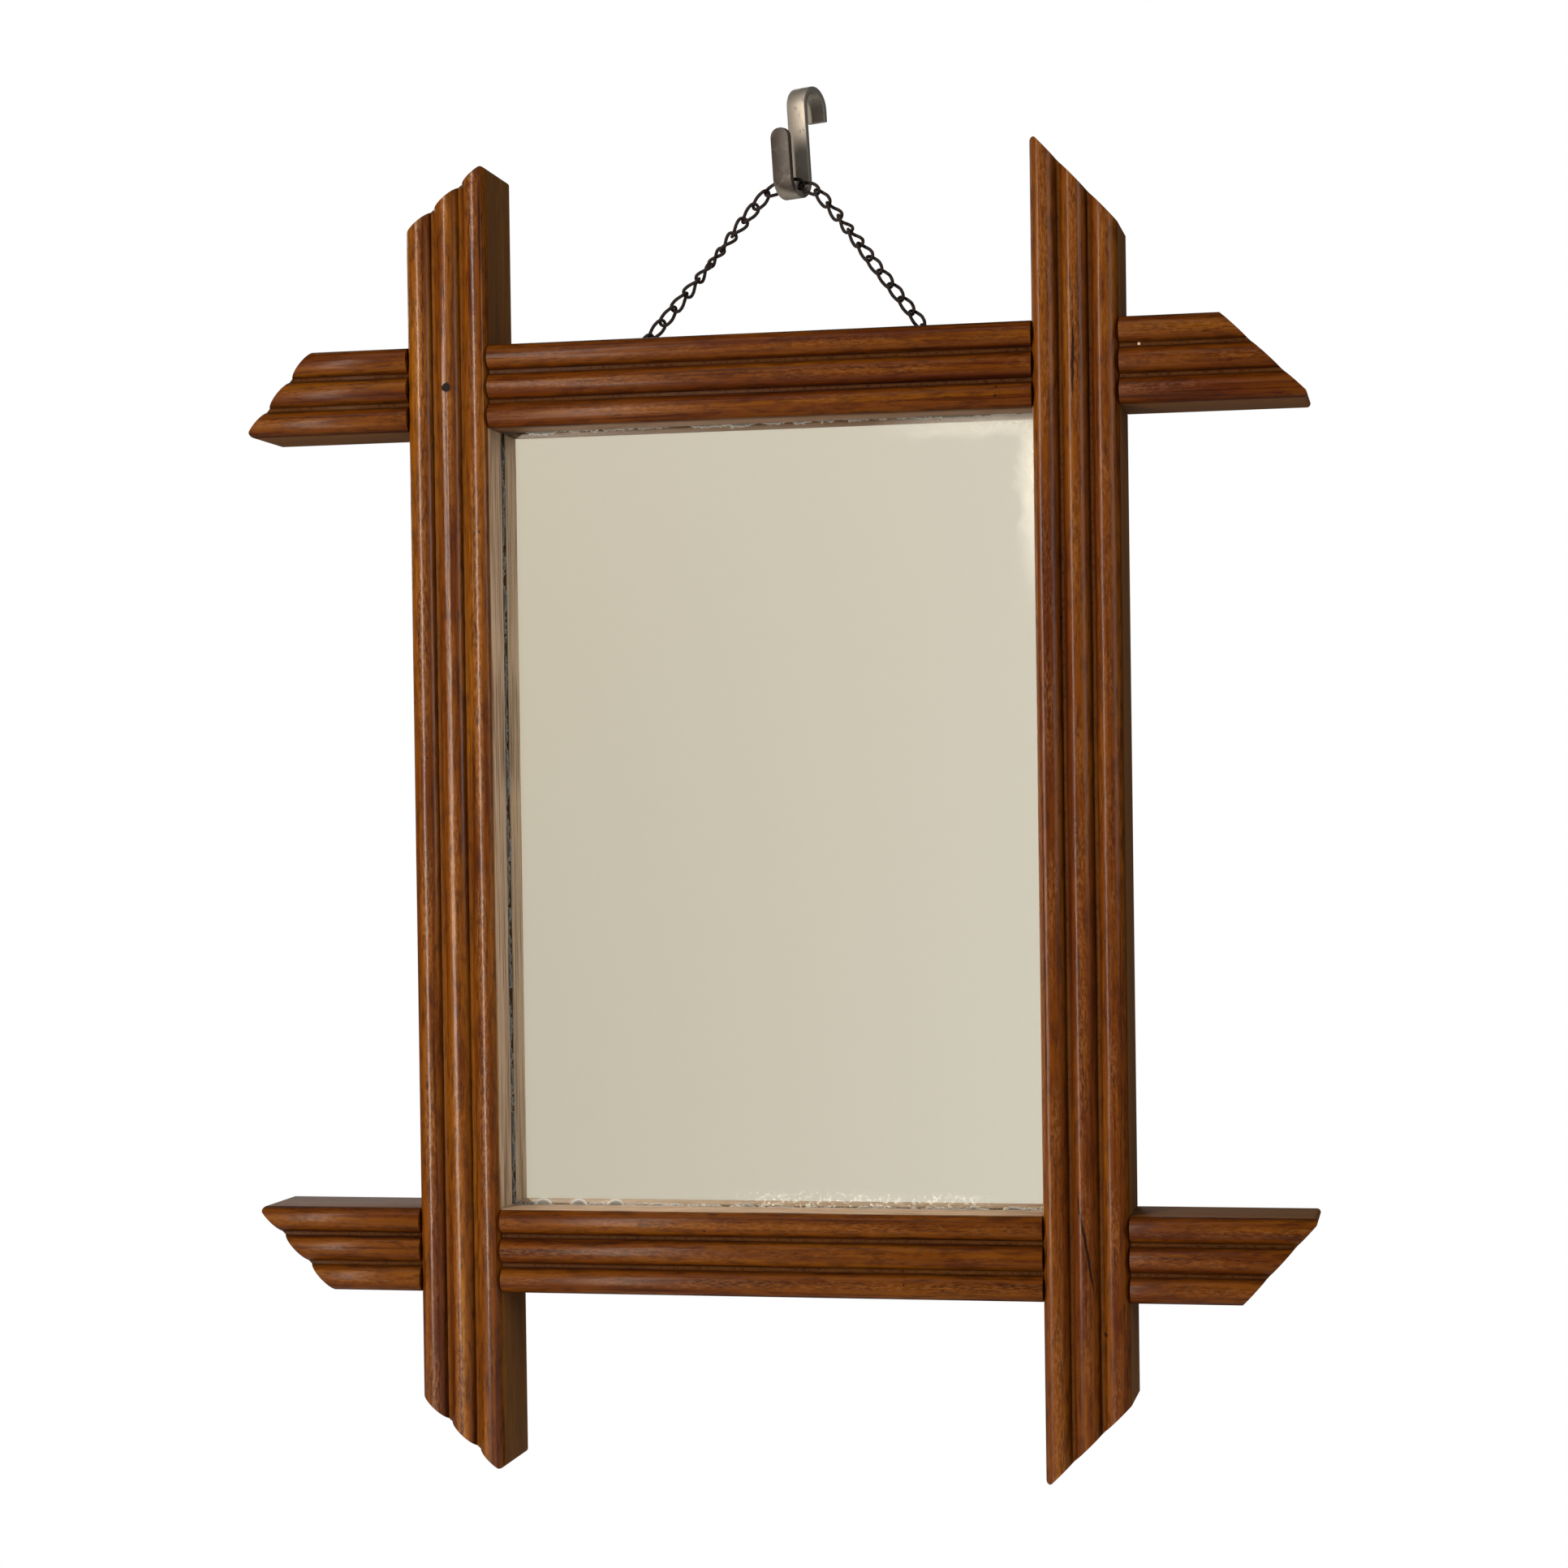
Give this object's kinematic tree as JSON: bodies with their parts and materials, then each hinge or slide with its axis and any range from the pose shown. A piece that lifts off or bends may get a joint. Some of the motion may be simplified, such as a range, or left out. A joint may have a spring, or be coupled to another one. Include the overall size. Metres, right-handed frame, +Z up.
{
  "type": "barber mirror",
  "caption": "Upright framed mirror with crossed, reeded wooden mouldings, hung by a twisted curb chain from a flat steel rail hook.",
  "frame": {"origin": "on the axis of the rail that the hook clasps, at the middle of the hook's width", "axes": "+X to the right and -Y to the front as the mirror is looked into, +Z up"},
  "size_m": [0.3413, 0.0653, 0.4504],
  "materials": {
    "varnished_wood": "worn dark varnish",
    "glass": "clear",
    "silver": "mirror, spotted at its edges",
    "board": "bare thin board",
    "brad_wire": "dull drawn wire",
    "dark_iron": "dark, rusted",
    "eye_wire": "dull wire",
    "chain_wire": "browned and worn",
    "hook_steel": "plain bent bar"
  },
  "bodies": {
    "hook_body": {"hook": "hook_steel"},
    "saddle": {"saddle_link": "chain_wire"},
    "chain_legs": {"left_link_01": "chain_wire", "left_link_02": "chain_wire", "left_link_03": "chain_wire", "left_link_04": "chain_wire", "left_link_05": "chain_wire", "left_link_06": "chain_wire", "left_link_07": "chain_wire", "left_link_08": "chain_wire", "left_link_09": "chain_wire", "left_link_10": "chain_wire", "left_link_11": "chain_wire", "left_link_12": "chain_wire", "left_link_13": "chain_wire", "left_link_14": "chain_wire", "right_link_01": "chain_wire", "right_link_02": "chain_wire", "right_link_03": "chain_wire", "right_link_04": "chain_wire", "right_link_05": "chain_wire", "right_link_06": "chain_wire", "right_link_07": "chain_wire", "right_link_08": "chain_wire", "right_link_09": "chain_wire", "right_link_10": "chain_wire", "right_link_11": "chain_wire", "right_link_12": "chain_wire", "right_link_13": "chain_wire", "right_link_14": "chain_wire"},
    "framed_mirror": {"left_stile": "varnished_wood", "right_stile": "varnished_wood", "top_rail": "varnished_wood", "bottom_rail": "varnished_wood", "mirror_glass": "glass", "silvering": "silver", "backing_board": "board", "glazing_brads": "brad_wire", "crossing_nail": "dark_iron", "left_screw_eye": "eye_wire", "right_screw_eye": "eye_wire"}
  },
  "joints": [
    {"name": "side_sway", "type": "hinge", "parent": "hook_body", "child": "saddle", "pos_m": [-0.00315, -0.00867, -0.02662], "axis": [0, 1, 0], "range_deg": [-2, 2]},
    {"name": "chain_swing", "type": "hinge", "parent": "saddle", "child": "chain_legs", "pos_m": [-0.00315, -0.00867, -0.02662], "axis": [1, 0, 0], "range_deg": [-16, 8]},
    {"name": "mirror_tilt", "type": "hinge", "parent": "chain_legs", "child": "framed_mirror", "pos_m": [-0.00315, -0.02557, -0.09442], "axis": [1, 0, 0], "range_deg": [-25, 75]}
  ]
}
